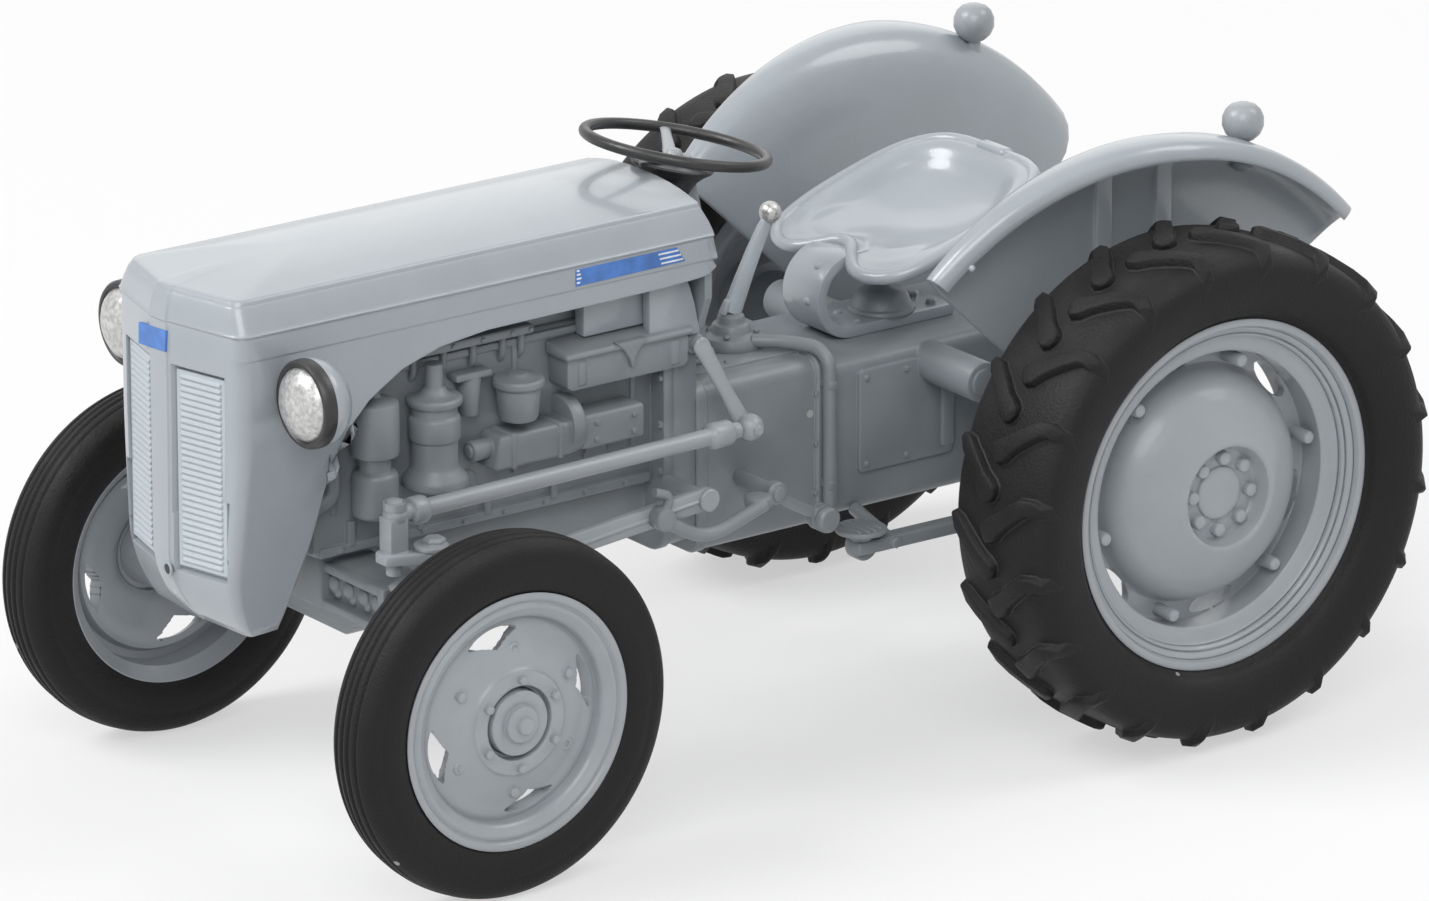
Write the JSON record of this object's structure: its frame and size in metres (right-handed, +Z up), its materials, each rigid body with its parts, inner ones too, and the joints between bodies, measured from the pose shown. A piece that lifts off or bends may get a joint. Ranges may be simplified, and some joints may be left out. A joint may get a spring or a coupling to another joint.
{
  "type": "die-cast miniature of a vintage tractor",
  "caption": "Small grey die-cast miniature of a vintage farm tractor with crowned bonnet, open engine, pan seat, mudguards and free-rolling wheels.",
  "frame": {"origin": "middle of the outline on the ground under the tractor", "axes": "+Z up, +X to the tractor's left, -Y forwards"},
  "size_m": [0.0234, 0.0376, 0.0181],
  "materials": {
    "grey_paint": "gloss",
    "chassis_grey": "satin",
    "wheel_grey": "satin",
    "black_tyre": "matte",
    "black_plastic": "satin",
    "silver_lens": "satin"
  },
  "bodies": {
    "chassis": {"axle_housing": "chassis_grey", "bonnet": "grey_paint", "bowl": "chassis_grey", "brake_pedal_left": "chassis_grey", "brake_pedal_right": "chassis_grey", "clutch_pedal": "chassis_grey", "dash_panel": "grey_paint", "drag_link_left": "chassis_grey", "drag_link_right": "chassis_grey", "drawbar": "chassis_grey", "drop_arm_left": "chassis_grey", "drop_arm_right": "chassis_grey", "engine": "chassis_grey", "footplate_left": "chassis_grey", "footplate_right": "chassis_grey", "front_axle": "chassis_grey", "fuel_filter": "chassis_grey", "gear_lever": "chassis_grey", "gearbox": "chassis_grey", "grille_left": "grey_paint", "grille_right": "grey_paint", "guard_lamp_left": "grey_paint", "guard_lamp_right": "grey_paint", "headlamp_left": "grey_paint", "headlamp_lens_left": "silver_lens", "headlamp_lens_right": "silver_lens", "headlamp_right": "grey_paint", "hydraulic_dome": "chassis_grey", "lower_link_left": "chassis_grey", "lower_link_right": "chassis_grey", "manifold": "chassis_grey", "mudguard_left": "grey_paint", "mudguard_right": "grey_paint", "oil_filter": "chassis_grey", "oil_pipe": "chassis_grey", "radius_rod_left": "chassis_grey", "radius_rod_right": "chassis_grey", "seat": "grey_paint", "seat_spring": "chassis_grey", "side_box": "chassis_grey", "starter": "chassis_grey", "steering_column": "black_plastic", "steering_wheel": "black_plastic", "stub_axle_left": "chassis_grey", "stub_axle_right": "chassis_grey", "water_hose": "chassis_grey"},
    "rear_wheel_left": {"rear_rim_left": "wheel_grey", "rear_tyre_left": "black_tyre"},
    "rear_wheel_right": {"rear_rim_right": "wheel_grey", "rear_tyre_right": "black_tyre"},
    "front_wheel_left": {"front_rim_left": "wheel_grey", "front_tyre_left": "black_tyre"},
    "front_wheel_right": {"front_rim_right": "wheel_grey", "front_tyre_right": "black_tyre"}
  },
  "joints": [
    {"name": "rear_wheel_left_spin", "type": "hinge", "parent": "chassis", "child": "rear_wheel_left", "pos_m": [0.00964, 0.01029, 0.0076], "axis": [1, 0, 0], "continuous": true},
    {"name": "rear_wheel_right_spin", "type": "hinge", "parent": "chassis", "child": "rear_wheel_right", "pos_m": [-0.00964, 0.01029, 0.0076], "axis": [1, 0, 0], "continuous": true},
    {"name": "front_wheel_left_spin", "type": "hinge", "parent": "chassis", "child": "front_wheel_left", "pos_m": [0.0083, -0.01311, 0.00523], "axis": [1, 0, 0], "continuous": true},
    {"name": "front_wheel_right_spin", "type": "hinge", "parent": "chassis", "child": "front_wheel_right", "pos_m": [-0.0083, -0.01311, 0.00523], "axis": [1, 0, 0], "continuous": true}
  ]
}
